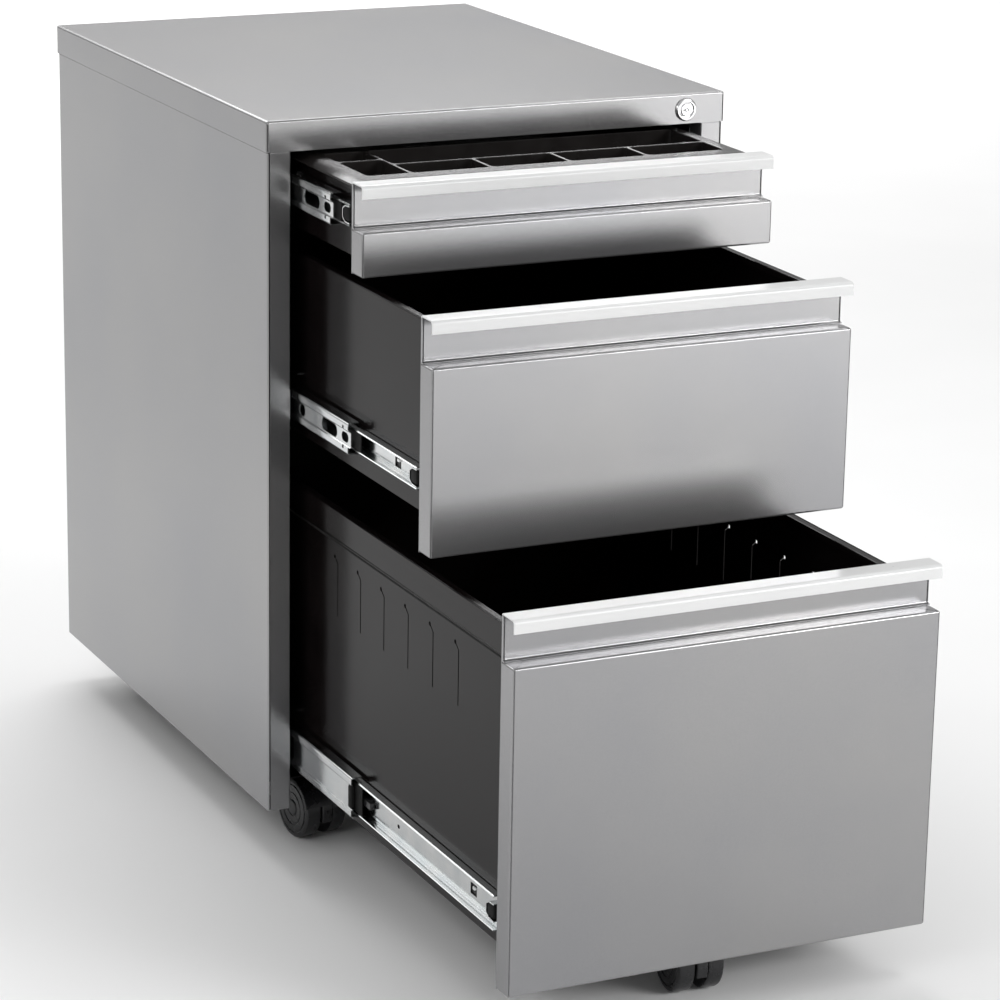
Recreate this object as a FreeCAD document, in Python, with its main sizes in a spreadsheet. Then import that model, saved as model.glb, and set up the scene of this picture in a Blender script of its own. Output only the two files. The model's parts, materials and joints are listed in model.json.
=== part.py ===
"""Three-drawer steel mobile pedestal, drawn with its drawers part-way out.

Millimetres, +Z up.  X = 0 is the middle of the cabinet, the drawers open towards -Y and
Z = 0 is the floor under the casters.  All levels are measured down from the cabinet's top.
"""
import os
import re
import sys

import FreeCAD, Part

SIZES = {
    # cabinet shell
    "width": 390.0, "depth": 490.0, "top_level": 595.0, "shell_bottom": 43.0, "front_plane": -49.25,
    "gauge": 1.0, "skirt": 24.0, "post_width": 20.0, "post_return": 17.0, "shell_flange": 12.0,
    "pan_level": 60.0, "notch_half": 45.0, "notch_depth": 100.0, "pad_half": 32.0, "pad_thick": 2.0,
    "upright_front": 31.0, "upright_rear": 430.0, "upright_depth": 30.0, "upright_drop": 6.0,
    # drawer fronts
    "front_half": 170.5, "front_gap": 3.5, "front_depth": 19.5, "recess": 34.7,
    "face_1": 33.7, "face_2": 139.6, "face_3": 243.7,
    "open_1": 125.5, "open_2": 251.0, "open_3": 391.5,
    "handle_lip": 10.0, "handle_thick": 2.0, "handle_leg": 12.0, "leg_thick": 1.2, "handle_round": 1.4,
    # drawer boxes
    "box_half": 160.0, "box_length": 463.0, "hem": 7.0,
    "wall_drop_1": 2.5, "wall_drop_2": 8.0, "wall_drop_3": 15.0,
    "floor_lift_1": 8.0, "floor_lift_2": 24.0, "floor_lift_3": 25.3, "back_drop": 6.0,
    "rail_thick": 1.5, "rail_height": 23.5,
    "slit_first": 92.5, "slit_pitch": 44.3, "slit_width": 1.2, "slit_length": 41.5, "slit_top": 334.7,
    "eyelet": 1.5, "eyelet_lean": 6.0, "eyelet_rise": 5.0,
    # telescopic slides: half heights of the three nested channels
    "slide_face": 172.7, "slide_sheet": 1.1, "slide_setback": 32.0, "slide_length": 450.0,
    "middle_length": 440.0, "inner_setback": 32.5, "inner_length": 448.0,
    "small_outer": 17.5, "small_middle": 12.5, "small_inner": 8.6,
    "large_outer": 22.5, "large_middle": 16.5, "large_inner": 13.6,
    "slide_level_1": 55.5, "slide_level_2": 223.0, "slide_level_3": 504.5,
    "middle_out_1": 102.0, "middle_out_2": 137.5, "middle_out_3": 144.0,
    "outer_depth": 9.5, "middle_near": 1.5, "middle_far": 10.5, "middle_web": 2.2, "raceway": 4.5,
    "inner_depth": 7.5, "middle_eye": 2.0, "middle_eye_at": 13.0, "middle_slot_1": 24.0,
    "middle_slot_2": 76.0, "middle_slot_long": 30.0, "middle_slot_half": 2.5,
    "lever_setback": 258.0, "lever_length": 34.0, "lever_half": 2.5, "lever_thick": 3.6,
    "lever_gap": 0.4, "lever_hub": 3.5, "pivot": 1.5, "pivot_bore": 1.6, "pivot_reach": 6.0,
    # pencil tray
    "tray_half": 165.0, "tray_tub_half": 151.5, "tray_length": 230.0, "tray_rim": 8.0, "tray_drop": 1.0,
    "tray_gap": 0.5,
    "tray_depth": 31.0, "tray_wall": 1.5, "tray_column": 34.5, "tray_row": 45.0, "tray_cross": 65.0,
    # lock
    "lock_x": 160.5, "lock_drop": 12.7, "lock_face": 9.2, "lock_lip": 2.0, "lock_barrel": 8.0,
    "lock_hole": 8.1, "barrel_length": 18.0, "plug": 5.0, "plug_bore": 5.05, "plug_proud": 2.2,
    "key_half": 0.6, "key_reach": 3.0, "key_depth": 8.0,
    "cam_station": 19.0, "cam_thick": 2.0, "cam_pin_long": 8.5,
    "cam_arm": 11.0, "cam_pin": 1.5, "cam_half": 3.0, "bar_near": 177.0, "bar_far": 189.0, "bar_front": 23.0,
    "bar_thick": 3.0, "bar_end": 475.0, "bracket_half": 3.7, "bracket_near": 164.5, "slot_half": 2.3,
    "slot_near": 166.3, "slot_far": 174.1, "tab_near": 165.0, "tab_half": 4.0, "lock_travel": 15.56,
    "catch_1": 80.0, "catch_2": 180.0, "catch_3": 450.0, "catch_reach": 9.0, "catch_setback": 28.0,
    "guide_1": 126.0, "guide_2": 400.0, "guide_half": 6.0, "guide_wall": 1.6, "guide_gap": 0.3,
    # casters
    "wheel": 25.0, "wheel_inner": 5.0, "wheel_outer": 18.5, "trail": 14.0, "axle": 3.0, "axle_bore": 3.1,
    "hood": 26.5, "hood_clear": 25.6, "hood_half": 19.5, "hood_edge": 7.0, "web_half": 4.4,
    "web_edge": 8.0,
    "neck": 9.0, "caster_top": 57.7, "stem": 4.9, "stem_bore": 5.0, "stem_top": 62.0,
    "caster_x": 140.0, "caster_setback": 61.0, "rear_setback": 428.0,
    "fifth_setback": 61.5, "fifth_pad": 26.0,
}
DRAWERS = (1, 2, 3)
SLIDE_SIZE = {1: "small", 2: "small", 3: "large"}
CASTER_TURN = {"front_left": 8.0, "front_right": -12.0, "rear_left": 24.0, "rear_right": -18.0, "fifth": -4.0}

doc = FreeCAD.newDocument("MobilePedestal")
dims = doc.addObject("Spreadsheet::Sheet", "dims")
for row, (alias, size) in enumerate(SIZES.items(), start=1):
    dims.set(f"A{row}", alias)
    dims.set(f"B{row}", str(size))
    dims.setAlias(f"B{row}", alias)
doc.recompute()

AXES = {
    "x": FreeCAD.Rotation(FreeCAD.Vector(0, 1, 0), 90),
    "y": FreeCAD.Rotation(FreeCAD.Vector(1, 0, 0), -90),
    "z": FreeCAD.Rotation(),
}
finished = []


# ---------- small building blocks ----------

def linked(text):
    """An expression in which every dimension's name points at its cell of the sheet."""
    return re.sub(r"[a-z][a-z_0-9]*", lambda word: "dims." + word.group(), text)


def bind(target, **sizes):
    for name, text in sizes.items():
        target.setExpression(name, linked(str(text)))


def place(target, x, y, z, rotation=FreeCAD.Rotation()):
    target.Placement = FreeCAD.Placement(FreeCAD.Vector(), rotation)
    for axis, text in zip("xyz", (x, y, z)):
        target.setExpression(f"Placement.Base.{axis}", linked(str(text)))


def box(x_span, y_span, z_span):
    """A block between two expressions along each axis."""
    block = doc.addObject("Part::Box", "block")
    lengths = [f"({high}) - ({low})" for low, high in (x_span, y_span, z_span)]
    bind(block, Length=lengths[0], Width=lengths[1], Height=lengths[2])
    place(block, x_span[0], y_span[0], z_span[0])
    return block


def cylinder(axis, radius, start, length):
    """A round bar from the point start, running along +axis."""
    bar = doc.addObject("Part::Cylinder", "bar")
    bind(bar, Radius=radius, Height=length)
    place(bar, *start, rotation=AXES[axis])
    return bar


def fuse(*pieces):
    if len(pieces) == 1:
        return pieces[0]
    joined = doc.addObject("Part::MultiFuse", "joined")
    joined.Shapes = list(pieces)
    return joined


def cut(base, *tools):
    carved = doc.addObject("Part::Cut", "carved")
    carved.Base = base
    carved.Tool = fuse(*tools)
    return carved


def mirrored(piece):
    """The piece on the cabinet's other side."""
    twin = doc.addObject("Part::Mirroring", "twin")
    twin.Source = piece
    twin.Normal = (1, 0, 0)
    return twin


def node(label, piece):
    piece.Label = label
    finished.append(piece)
    return piece


def both_sides(label, piece):
    """One node that holds the left piece and its right-hand twin."""
    return node(label, fuse(piece, mirrored(piece)))


# ---------- levels and stations ----------

def below_top(drop):
    return f"(top_level - ({drop}))"


def from_front(setback):
    return f"(front_plane + ({setback}))"


FRONT_TOP = {1: "skirt + front_gap"}
for n in (2, 3):
    FRONT_TOP[n] = f"{FRONT_TOP[n - 1]} + recess + face_{n - 1} + front_gap"
LEDGE = {n: f"{FRONT_TOP[n]} + recess" for n in DRAWERS}
FRONT_BOTTOM = {n: f"{LEDGE[n]} + face_{n}" for n in DRAWERS}
WALL_TOP = {n: f"{FRONT_TOP[n]} + wall_drop_{n}" for n in DRAWERS}
WALL_BOTTOM = {n: f"{FRONT_BOTTOM[n]} - floor_lift_{n}" for n in DRAWERS}


def behind_face(n, setback):
    """A station on drawer n, measured back from its front face."""
    return f"(front_plane - open_{n} + ({setback}))"


# ---------- cabinet shell ----------

def make_top_cover():
    shell = box(("-width / 2", "width / 2"), (from_front("0"), from_front("depth")),
                (below_top("skirt"), below_top("0")))
    inside = box(("-width / 2 + gauge", "width / 2 - gauge"),
                 (from_front("gauge"), from_front("depth - gauge")),
                 (below_top("skirt + gauge"), below_top("gauge")))
    lock_hole = cylinder("y", "lock_hole", ("lock_x", from_front("-gauge"), below_top("lock_drop")),
                         "3 * gauge")
    node("top_cover", cut(shell, inside, lock_hole))


def make_side_panels():
    outer, inner = "-width / 2 + gauge", "-width / 2 + 2 * gauge"
    height = ("shell_bottom", below_top("gauge"))
    front, back = from_front("gauge"), from_front("depth - gauge")
    sheet = box((outer, inner), (front, back), height)
    post = box((outer, "-width / 2 + post_width"), (front, f"{front} + gauge"), height)
    post_return = box(("-width / 2 + post_width - gauge", "-width / 2 + post_width"),
                      (front, f"{front} + post_return"), height)
    rear_flange = box((outer, f"{inner} + shell_flange"), (f"{back} - 2 * gauge", f"{back} - gauge"),
                      height)
    bottom_flange = box((outer, f"{inner} + shell_flange"), (front, f"{back} - gauge"),
                        ("shell_bottom", "shell_bottom + gauge"))
    panel = node("left_side_panel", fuse(sheet, post, post_return, rear_flange, bottom_flange))
    node("right_side_panel", mirrored(panel))


def make_back_panel():
    half = "width / 2 - 2 * gauge"
    node("back_panel", box((f"-({half})", half), (from_front("depth - 2 * gauge"),
                                                  from_front("depth - gauge")),
                           ("shell_bottom", below_top("gauge"))))


def caster_stations():
    """The four corner casters: name, X and Y of the swivel axis."""
    for end, setback in (("front", "caster_setback"), ("rear", "rear_setback")):
        for side, x in (("left", "-caster_x"), ("right", "caster_x")):
            yield f"{end}_{side}", x, from_front(setback)


def make_base_pan():
    half = "width / 2 - 2 * gauge"
    plate = box((f"-({half})", half), (from_front("front_depth + gauge"), from_front("depth - 3 * gauge")),
                ("pan_level", "pan_level + gauge"))
    notch = box(("-notch_half", "notch_half"), (from_front("0"), from_front("notch_depth")),
                ("pan_level - gauge", "pan_level + 2 * gauge"))
    pads = []
    bores = []
    for _, x, y in caster_stations():
        pads.append(box((f"{x} - pad_half", f"{x} + pad_half"), (f"{y} - pad_half", f"{y} + pad_half"),
                        ("pan_level - pad_thick", "pan_level")))
        bores.append(cylinder("z", "stem_bore", (x, y, "pan_level - 2 * pad_thick"), "4 * pad_thick"))
    node("base_pan", cut(fuse(plate, *pads), notch, *bores))


def make_uprights():
    """Channels that carry the slides, between the side panel and the slides' backs."""
    channels = []
    for setback in ("upright_front", "upright_rear"):
        channel = box(("-width / 2 + 2 * gauge", "-slide_face"),
                      (from_front(setback), from_front(f"{setback} + upright_depth")),
                      ("pan_level + gauge", below_top("skirt + upright_drop")))
        hollow = box(("-width / 2 + gauge", "-slide_face - gauge"),
                     (from_front(f"{setback} + gauge"), from_front(f"{setback} + upright_depth - gauge")),
                     ("pan_level", below_top("skirt")))
        channels.append(cut(channel, hollow))
    left = node("left_uprights", fuse(*channels))
    node("right_uprights", mirrored(left))


# ---------- telescopic slides ----------

def slide_span(n, half):
    level = below_top(f"slide_level_{n}")
    return f"{level} - {half}", f"{level} + {half}"


def make_outer_slides(n):
    half = f"{SLIDE_SIZE[n]}_outer"
    run = (from_front("slide_setback"), from_front("slide_setback + slide_length"))
    channel = box(("-slide_face", "-slide_face + outer_depth"), run, slide_span(n, half))
    hollow = box(("-slide_face + slide_sheet", "-slide_face + outer_depth + gauge"), run,
                 slide_span(n, f"({half} - slide_sheet)"))
    both_sides(f"drawer_{n}_outer_slides", cut(channel, hollow))


def make_middle_slides(n):
    half = f"{SLIDE_SIZE[n]}_middle"
    start = from_front(f"slide_setback - middle_out_{n}")
    run = (start, f"{start} + middle_length")
    level = below_top(f"slide_level_{n}")
    near, far = "-slide_face + middle_near", "-slide_face + middle_far"
    channel = box((near, far), run, slide_span(n, half))
    hollow = box((f"{near} + middle_web", f"{far} + gauge"), run, slide_span(n, f"({half} - slide_sheet)"))
    sunk_web = box(("-slide_face", f"{near} + slide_sheet"), run, slide_span(n, f"({half} - raceway)"))
    holes = [cylinder("x", "middle_eye", (near, f"{start} + middle_eye_at", level), "2 * middle_web")]
    for station in ("middle_slot_1", "middle_slot_2"):
        holes.append(box((near, f"{near} + 2 * middle_web"),
                         (f"{start} + {station}", f"{start} + {station} + middle_slot_long"),
                         (f"{level} - middle_slot_half", f"{level} + middle_slot_half")))
    both_sides(f"drawer_{n}_middle_slides", cut(channel, hollow, sunk_web, *holes))


def lever_axis(n):
    return behind_face(n, "inner_setback + lever_setback"), below_top(f"slide_level_{n}")


def make_inner_slides(n):
    half = f"{SLIDE_SIZE[n]}_inner"
    run = (behind_face(n, "inner_setback"), behind_face(n, "inner_setback + inner_length"))
    channel = box(("-box_half - inner_depth", "-box_half"), run, slide_span(n, half))
    hollow = box(("-box_half - inner_depth - gauge", "-box_half - slide_sheet"), run,
                 slide_span(n, f"({half} - slide_sheet)"))
    y, z = lever_axis(n)
    pin = cylinder("x", "pivot", ("-box_half - pivot_reach", y, z), "pivot_reach - slide_sheet / 2")
    both_sides(f"drawer_{n}_inner_slides", fuse(cut(channel, hollow), pin))


def make_release_levers(n):
    """Small arms in the inner channels that let the drawer lift off its slides."""
    y, z = lever_axis(n)
    near = "-box_half - slide_sheet - lever_gap"
    far = f"{near} - lever_thick"
    hub = cylinder("x", "lever_hub", (far, y, z), "lever_thick")
    arm = box((far, near), (f"{y} - lever_length", y), (f"{z} - lever_half", f"{z} + lever_half"))
    bore = cylinder("x", "pivot_bore", (f"{far} - gauge", y, z), "lever_thick + 2 * gauge")
    both_sides(f"drawer_{n}_release_levers", cut(fuse(hub, arm), bore))


# ---------- drawers ----------

def make_handle(n):
    """Hooked rail along the front's top edge: a top plate, a front lip and a short back leg."""
    body = doc.addObject("PartDesign::Body", f"handle_{n}")
    width = "2 * front_half"
    top = body.newObject("PartDesign::AdditiveBox", f"handle_{n}_top")
    bind(top, Length=width, Width="front_depth", Height="handle_lip")
    hollow = body.newObject("PartDesign::SubtractiveBox", f"handle_{n}_hollow")
    bind(hollow, Length=width, Width="front_depth - handle_thick", Height="handle_lip - handle_thick")
    hollow.setExpression("Placement.Base.y", linked("handle_thick"))
    leg = body.newObject("PartDesign::AdditiveBox", f"handle_{n}_leg")
    bind(leg, Length=width, Width="leg_thick", Height="handle_leg")
    leg.setExpression("Placement.Base.y", linked("front_depth - gauge - leg_thick"))
    leg.setExpression("Placement.Base.z", linked("handle_lip - handle_leg"))
    doc.recompute()
    crest = [f"Edge{i}" for i, edge in enumerate(body.Shape.Edges, start=1)
             if edge.BoundBox.XLength > SIZES["front_half"] and edge.BoundBox.YMax < 0.01
             and edge.BoundBox.ZMin > SIZES["handle_lip"] - 0.01]
    rounding = body.newObject("PartDesign::Fillet", f"handle_{n}_round")
    rounding.Base = (leg, crest)
    bind(rounding, Radius="handle_round")
    place(body, "-front_half", behind_face(n, "0"), below_top(f"{FRONT_TOP[n]} + handle_lip"))
    node(f"drawer_{n}_handle", body)


def make_front(n):
    """The sunk plate behind the finger gap, and the box-shaped pan of the face below it."""
    plate = box(("-front_half", "front_half"),
                (behind_face(n, "front_depth - gauge"), behind_face(n, "front_depth")),
                (below_top(FRONT_BOTTOM[n]), below_top(f"{FRONT_TOP[n]} + handle_thick")))
    node(f"drawer_{n}_front_plate", plate)
    pan = box(("-front_half", "front_half"), (behind_face(n, "0"), behind_face(n, "front_depth - gauge")),
              (below_top(FRONT_BOTTOM[n]), below_top(LEDGE[n])))
    hollow = box(("-front_half + gauge", "front_half - gauge"),
                 (behind_face(n, "gauge"), behind_face(n, "front_depth")),
                 (below_top(f"{FRONT_BOTTOM[n]} - gauge"), below_top(f"{LEDGE[n]} + gauge")))
    node(f"drawer_{n}_front_pan", cut(pan, hollow))


def folder_slits(n, from_back):
    """Upright slits for folder hooks, each with a round hole beside its top."""
    slits = []
    for i in range(6):
        along = f"slit_first + {i} * slit_pitch"
        station = f"box_length - ({along})" if from_back else along
        lean = "-eyelet_lean" if from_back else "eyelet_lean"
        y = behind_face(n, f"front_depth + {station}")
        top = below_top("slit_top")
        slits.append(box(("-box_half - gauge", "-box_half + 2 * gauge"), (y, f"{y} + slit_width"),
                         (f"{top} - slit_length", top)))
        slits.append(cylinder("x", "eyelet", ("-box_half - gauge", f"{y} + ({lean})",
                                              f"{top} + eyelet_rise"), "3 * gauge"))
    return slits


def make_walls(n):
    start = behind_face(n, "front_depth")
    end = behind_face(n, "front_depth + box_length")
    top, bottom = below_top(WALL_TOP[n]), below_top(WALL_BOTTOM[n])
    wall = fuse(box(("-box_half", "-box_half + gauge"), (start, end), (bottom, top)),
                box(("-box_half", "-box_half + hem"), (start, end), (f"{top} - gauge", top)))
    if n == 3:
        rail = box(("-box_half - rail_thick", "-box_half"), (start, end), (f"{top} - rail_height", top))
        wall = fuse(wall, rail)
        left_wall = cut(wall, *folder_slits(n, False))
        right_wall = mirrored(cut(wall, *folder_slits(n, True)))
    else:
        left_wall = wall
        right_wall = mirrored(wall)
    catch_level = below_top(f"catch_{n}")
    station = behind_face(n, "catch_setback")
    catch = box(("box_half - gauge", "box_half + catch_reach"), (station, f"{station} + 2 * gauge"),
                (f"{catch_level} - tab_half", f"{catch_level} + tab_half"))
    node(f"drawer_{n}_left_wall", left_wall)
    node(f"drawer_{n}_right_wall", fuse(right_wall, catch))
    inner = "box_half - gauge"
    node(f"drawer_{n}_floor", box((f"-({inner})", inner), (start, f"{end} - gauge"),
                                  (bottom, f"{bottom} + gauge")))
    node(f"drawer_{n}_back", box((f"-({inner})", inner), (f"{end} - gauge", end),
                                 (bottom, f"{top} - back_drop")))


def make_pencil_tray():
    rim_top = below_top(f"{FRONT_TOP[1]} + tray_drop")
    front = behind_face(1, "front_depth + tray_gap")
    back = f"({front} + tray_length)"
    rim = box(("-tray_half", "tray_half"), (front, back), (f"{rim_top} - tray_wall", rim_top))
    tub = box(("-tray_tub_half", "tray_tub_half"), (f"{front} + tray_rim", f"{back} - tray_rim"),
              (f"{rim_top} - tray_depth", rim_top))
    near, far = f"{front} + tray_rim + tray_wall", f"{back} - tray_rim - tray_wall"
    left, right = "-tray_tub_half + tray_wall", "tray_tub_half - tray_wall"
    column = f"{left} + tray_column"
    row = f"{near} + tray_row"
    cell = f"(({right} - ({column}) - tray_wall) / 4)"
    depth = (f"{rim_top} - tray_depth + tray_wall", f"{rim_top} + tray_wall")
    pockets = [
        box((left, column), (near, f"{near} + tray_cross"), depth),
        box((left, column), (f"{near} + tray_cross + tray_wall", far), depth),
        box((f"{column} + tray_wall", right), (f"{row} + tray_wall", far), depth),
    ]
    for i in range(4):
        start = f"{column} + tray_wall + {i} * {cell}"
        end = f"{start} + {cell}" if i == 3 else f"{start} + {cell} - tray_wall"
        pockets.append(box((start, end), (near, row), depth))
    node("pencil_tray", cut(fuse(rim, tub), *pockets))


# ---------- lock ----------

def make_lock():
    height = below_top("lock_drop")
    flange = cylinder("y", "lock_face", ("lock_x", from_front("-lock_lip"), height), "lock_lip")
    barrel = cylinder("y", "lock_barrel", ("lock_x", from_front("0"), height), "barrel_length")
    bore = cylinder("y", "plug_bore", ("lock_x", from_front("-lock_lip - gauge"), height),
                    "lock_lip + barrel_length + 2 * gauge")
    node("lock_housing", cut(fuse(flange, barrel), bore))
    plug = cylinder("y", "plug", ("lock_x", from_front("-plug_proud"), height), "plug_proud + cam_station")
    keyway = box(("lock_x - key_half", "lock_x + key_half"),
                 (from_front("-key_reach"), from_front("key_depth")),
                 (f"{height} - key_reach", f"{height} + key_reach"))
    node("lock_plug", cut(plug, keyway))
    arm = box((0, "cam_arm"), (0, "cam_thick"), ("-cam_half", "cam_half"))
    hub = cylinder("y", "plug", (0, 0, 0), "cam_thick")
    tip = cylinder("y", "cam_half", ("cam_arm", 0, 0), "cam_thick")
    pin = cylinder("y", "cam_pin", ("cam_arm", 0, 0), "cam_pin_long")
    cam = fuse(hub, arm, tip, pin)
    place(cam, "lock_x", from_front("cam_station"), height, FreeCAD.Rotation(FreeCAD.Vector(0, 1, 0), 45))
    node("lock_cam", cam)


def make_lock_bar():
    """Upright bar behind the right post, with a slotted ear for the cam and a tab for each drawer."""
    run = (from_front("bar_front"), from_front("bar_front + bar_thick"))
    ear_level = below_top("lock_drop + lock_travel / 2")
    strip = box(("bar_near", "bar_far"), run, (below_top("bar_end"), f"{ear_level} + bracket_half"))
    ear = box(("bracket_near", "bar_near"), run, (f"{ear_level} - bracket_half",
                                                 f"{ear_level} + bracket_half"))
    pieces = [strip, ear]
    for n in DRAWERS:
        level = below_top(f"catch_{n} + lock_travel")
        pieces.append(box(("tab_near", "bar_near"), run, (f"{level} - tab_half", f"{level} + tab_half")))
    slot = box(("slot_near", "slot_far"),
               (from_front("bar_front - gauge"), from_front("bar_front + bar_thick + gauge")),
               (f"{ear_level} - slot_half", f"{ear_level} + slot_half"))
    node("lock_bar", cut(fuse(*pieces), slot))


def make_bar_guides():
    blocks = []
    for level in ("guide_1", "guide_2"):
        block = box(("bar_near - guide_wall", "width / 2 - 2 * gauge"),
                    (from_front("bar_front - guide_wall"), from_front("bar_front + bar_thick + guide_wall")),
                    (below_top(f"{level} + guide_half"), below_top(f"{level} - guide_half")))
        channel = box(("bar_near - guide_gap", "bar_far + guide_gap"),
                      (from_front("bar_front - guide_gap"), from_front("bar_front + bar_thick + guide_gap")),
                      (below_top(f"{level} + 2 * guide_half"), below_top(f"{level} - 2 * guide_half")))
        blocks.append(cut(block, channel))
    node("lock_bar_guides", fuse(*blocks))


# ---------- casters ----------

def make_caster(name, x, y):
    """A hooded twin-wheel caster, drawn about its swivel axis and then turned and put in place."""
    centre = ("-trail", "wheel")
    along = ("-2 * hood", "2 * hood")
    web = cylinder("x", "hood", ("-web_half", *centre), "2 * web_half")
    shell = cylinder("x", "hood", ("-hood_half", *centre), "2 * hood_half")
    below_hood = box(("-hood_half - gauge", "hood_half + gauge"), along, ("-hood", "wheel + hood_edge"))
    below_web = box(("-web_half - gauge", "web_half + gauge"), along, ("-hood", "wheel - web_edge"))
    wheel_rooms = [cylinder("x", "hood_clear", (start, *centre), "hood_half + gauge - web_half")
                   for start in ("-hood_half - gauge", "web_half")]
    neck = cylinder("z", "neck", (0, 0, "wheel"), "caster_top - wheel")
    stem = cylinder("z", "stem", (0, 0, "caster_top"), "stem_top - caster_top")
    bore = cylinder("x", "axle_bore", ("-web_half - gauge", *centre), "2 * web_half + 2 * gauge")
    housing = cut(fuse(cut(shell, below_hood), cut(web, below_web), neck, stem), bore, *wheel_rooms)
    discs = [cylinder("x", "wheel", (start, *centre), "wheel_outer - wheel_inner")
             for start in ("-wheel_outer", "wheel_inner")]
    axle = cylinder("x", "axle", ("-wheel_outer", *centre), "2 * wheel_outer")
    turn = FreeCAD.Rotation(FreeCAD.Vector(0, 0, 1), CASTER_TURN[name])
    for label, piece in ((f"caster_{name}_housing", housing), (f"caster_{name}_wheels", fuse(*discs, axle))):
        place(piece, x, y, 0, turn)
        node(label, piece)


def make_fifth_caster_bracket():
    y = behind_face(3, "fifth_setback")
    block = box(("-fifth_pad", "fifth_pad"), (f"{y} - fifth_pad", f"{y} + fifth_pad"),
                ("pan_level - pad_thick", below_top(WALL_BOTTOM[3])))
    bore = cylinder("z", "stem_bore", (0, y, "pan_level - 2 * pad_thick"), "4 * pad_thick")
    node("fifth_caster_bracket", cut(block, bore))


# ---------- the whole pedestal ----------

make_top_cover()
make_side_panels()
make_back_panel()
make_base_pan()
make_uprights()
make_lock()
make_lock_bar()
make_bar_guides()
for n in DRAWERS:
    make_outer_slides(n)
    make_middle_slides(n)
    make_inner_slides(n)
    make_release_levers(n)
    make_handle(n)
    make_front(n)
    make_walls(n)
make_pencil_tray()
for name, x, y in caster_stations():
    make_caster(name, x, y)
make_fifth_caster_bracket()
make_caster("fifth", "0", behind_face(3, "fifth_setback"))

doc.recompute()
faults = [item.Label for item in doc.Objects if {"Invalid", "Error"} & set(item.State)]
faults += [item.Label for item in finished if item.Shape.isNull() or not item.Shape.isValid()]
if faults:
    sys.exit(f"failed objects: {faults}")
os.makedirs("parts", exist_ok=True)
for item in finished:
    item.Shape.exportStep(f"parts/{item.Label}.step")
print(len(finished), "sub-parts written")
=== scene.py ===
"""Three-drawer steel mobile pedestal: materials, detailed pieces, soft studio light and camera."""
import json
import math

import bmesh
import bpy
from mathutils import Matrix, Vector


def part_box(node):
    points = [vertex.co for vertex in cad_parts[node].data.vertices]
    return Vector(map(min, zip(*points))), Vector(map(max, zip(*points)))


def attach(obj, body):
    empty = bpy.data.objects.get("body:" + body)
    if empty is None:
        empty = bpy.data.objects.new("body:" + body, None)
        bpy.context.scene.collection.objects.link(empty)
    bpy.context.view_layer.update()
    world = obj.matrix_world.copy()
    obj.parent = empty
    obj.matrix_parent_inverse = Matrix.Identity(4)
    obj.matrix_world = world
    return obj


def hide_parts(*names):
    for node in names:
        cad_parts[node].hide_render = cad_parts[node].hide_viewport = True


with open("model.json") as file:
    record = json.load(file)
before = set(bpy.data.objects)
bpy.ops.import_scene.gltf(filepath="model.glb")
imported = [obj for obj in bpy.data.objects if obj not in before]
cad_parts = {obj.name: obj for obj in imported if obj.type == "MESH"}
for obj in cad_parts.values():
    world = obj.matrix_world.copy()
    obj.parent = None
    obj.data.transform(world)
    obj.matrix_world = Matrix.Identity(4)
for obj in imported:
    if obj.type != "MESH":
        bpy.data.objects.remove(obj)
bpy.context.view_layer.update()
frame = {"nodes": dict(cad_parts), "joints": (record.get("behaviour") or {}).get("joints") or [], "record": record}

MM = 0.001
SHEET = 1.0 * MM  # the gauge of the painted steel sheet
JOINTS = {joint["name"]: joint for joint in frame["joints"]}
DRAWERS = (1, 2, 3)


# ---------- materials ----------

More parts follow.
